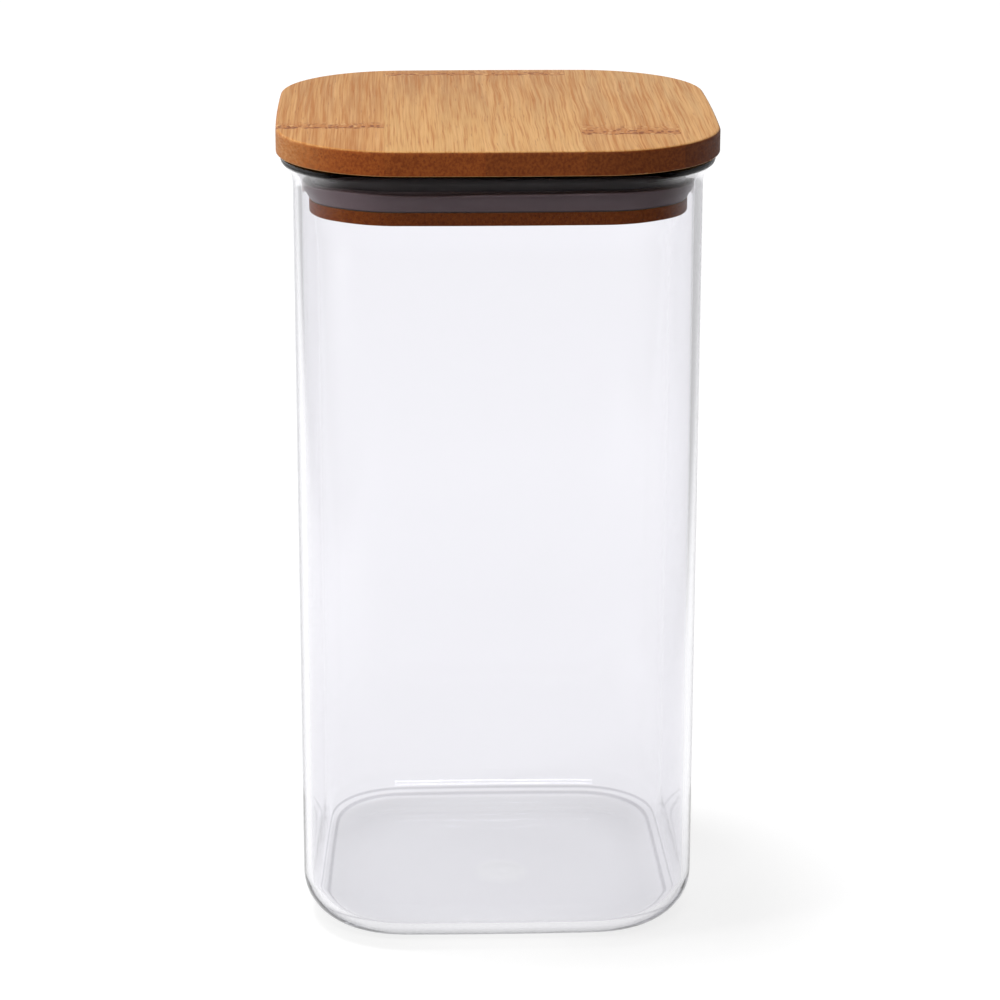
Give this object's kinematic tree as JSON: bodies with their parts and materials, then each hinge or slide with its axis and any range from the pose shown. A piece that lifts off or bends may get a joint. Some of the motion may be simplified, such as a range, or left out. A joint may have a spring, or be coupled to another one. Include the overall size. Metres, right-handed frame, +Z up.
{
  "type": "lidded glass canister",
  "caption": "Tall square glass storage jar with rounded corners and a flared rim, closed by a flat bamboo lid whose plug carries a silicone sealing ring.",
  "frame": {"origin": "middle of the jar's base, on the surface that it stands on", "axes": "+Z up along the jar's axis, X along the lid's width across its strips, Y front to back along the bamboo grain, with the front at -Y"},
  "size_m": [0.1078, 0.1078, 0.204],
  "materials": {
    "clear_glass": "clear polished blown glass",
    "bamboo": "sanded and oiled flat-pressed bamboo",
    "silicone": "satin translucent grey silicone"
  },
  "bodies": {
    "jar": {"glass_jar": "clear_glass"},
    "lid": {"seal_ring": "silicone", "lid_strip_1": "bamboo", "lid_strip_2": "bamboo", "lid_strip_3": "bamboo", "lid_strip_4": "bamboo", "lid_strip_5": "bamboo", "plug_upper_strip_1": "bamboo", "plug_upper_strip_2": "bamboo", "plug_upper_strip_3": "bamboo", "plug_upper_strip_4": "bamboo", "plug_lower_strip_1": "bamboo", "plug_lower_strip_2": "bamboo", "plug_lower_strip_3": "bamboo", "plug_lower_strip_4": "bamboo"}
  },
  "joints": [
    {"name": "lid_lift", "type": "slide", "parent": "jar", "child": "lid", "axis": [0, 0, 1], "range_m": [0, 0.06]}
  ]
}
